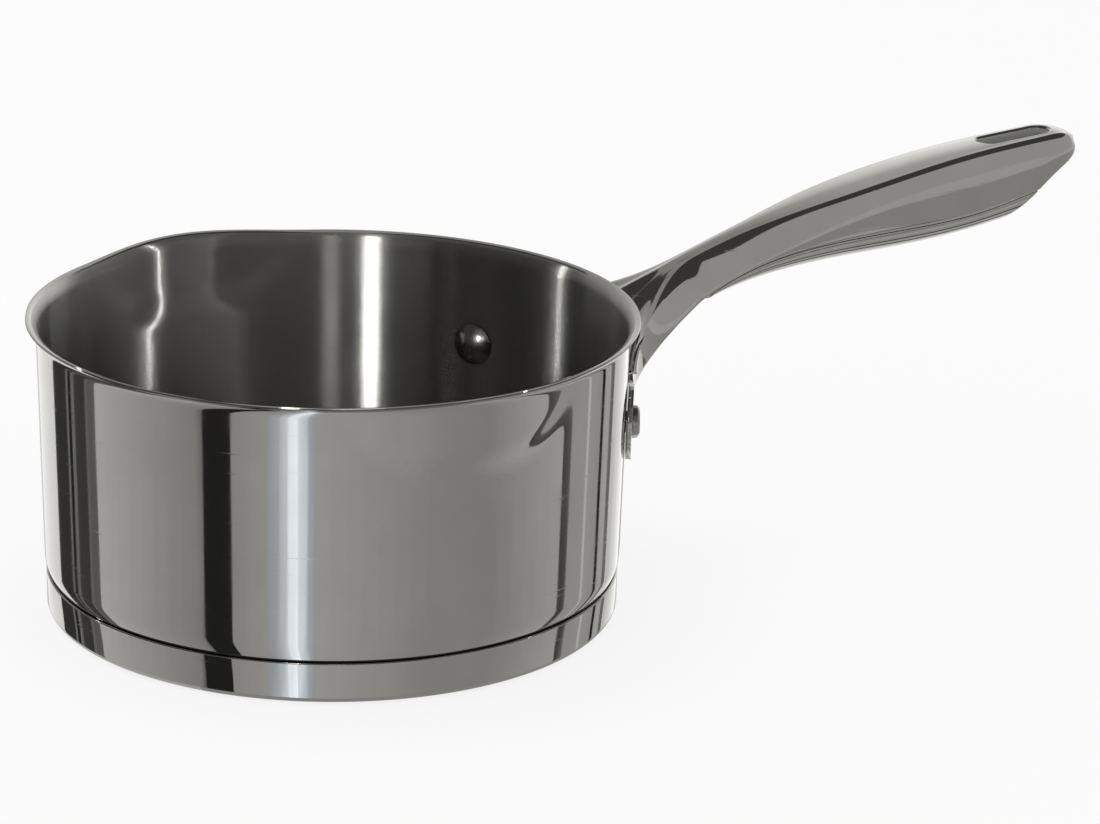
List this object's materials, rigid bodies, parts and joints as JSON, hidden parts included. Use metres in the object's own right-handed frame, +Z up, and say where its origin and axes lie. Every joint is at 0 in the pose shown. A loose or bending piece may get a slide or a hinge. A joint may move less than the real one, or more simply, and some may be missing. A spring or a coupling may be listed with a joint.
{
  "type": "saucepan",
  "caption": "Stainless steel saucepan with a flared lip, pouring spouts, a thick capsule base and a hollow riveted handle with a hanging slot, for heating and pouring food.",
  "frame": {"origin": "centre of the base's flat underside", "axes": "+Z up through the pan's mouth, +X from the pan's axis towards the handle's tip"},
  "size_m": [0.3378, 0.1732, 0.1066],
  "materials": {
    "pan_steel": "stainless, mirror polished outside and satin brushed inside",
    "cap_steel": "stainless, mirror polished round the edge and turned underneath",
    "core_aluminium": "plain rolled disc, sealed in the base",
    "handle_steel": "stainless, pressed and mirror polished",
    "rivet_steel": "stainless, headed and polished"
  },
  "bodies": {
    "root": {"pan_body": "pan_steel", "base_core": "core_aluminium", "base_cap": "cap_steel", "handle_upper": "handle_steel", "handle_lower": "handle_steel", "rivet_left": "rivet_steel", "rivet_right": "rivet_steel"}
  },
  "joints": []
}
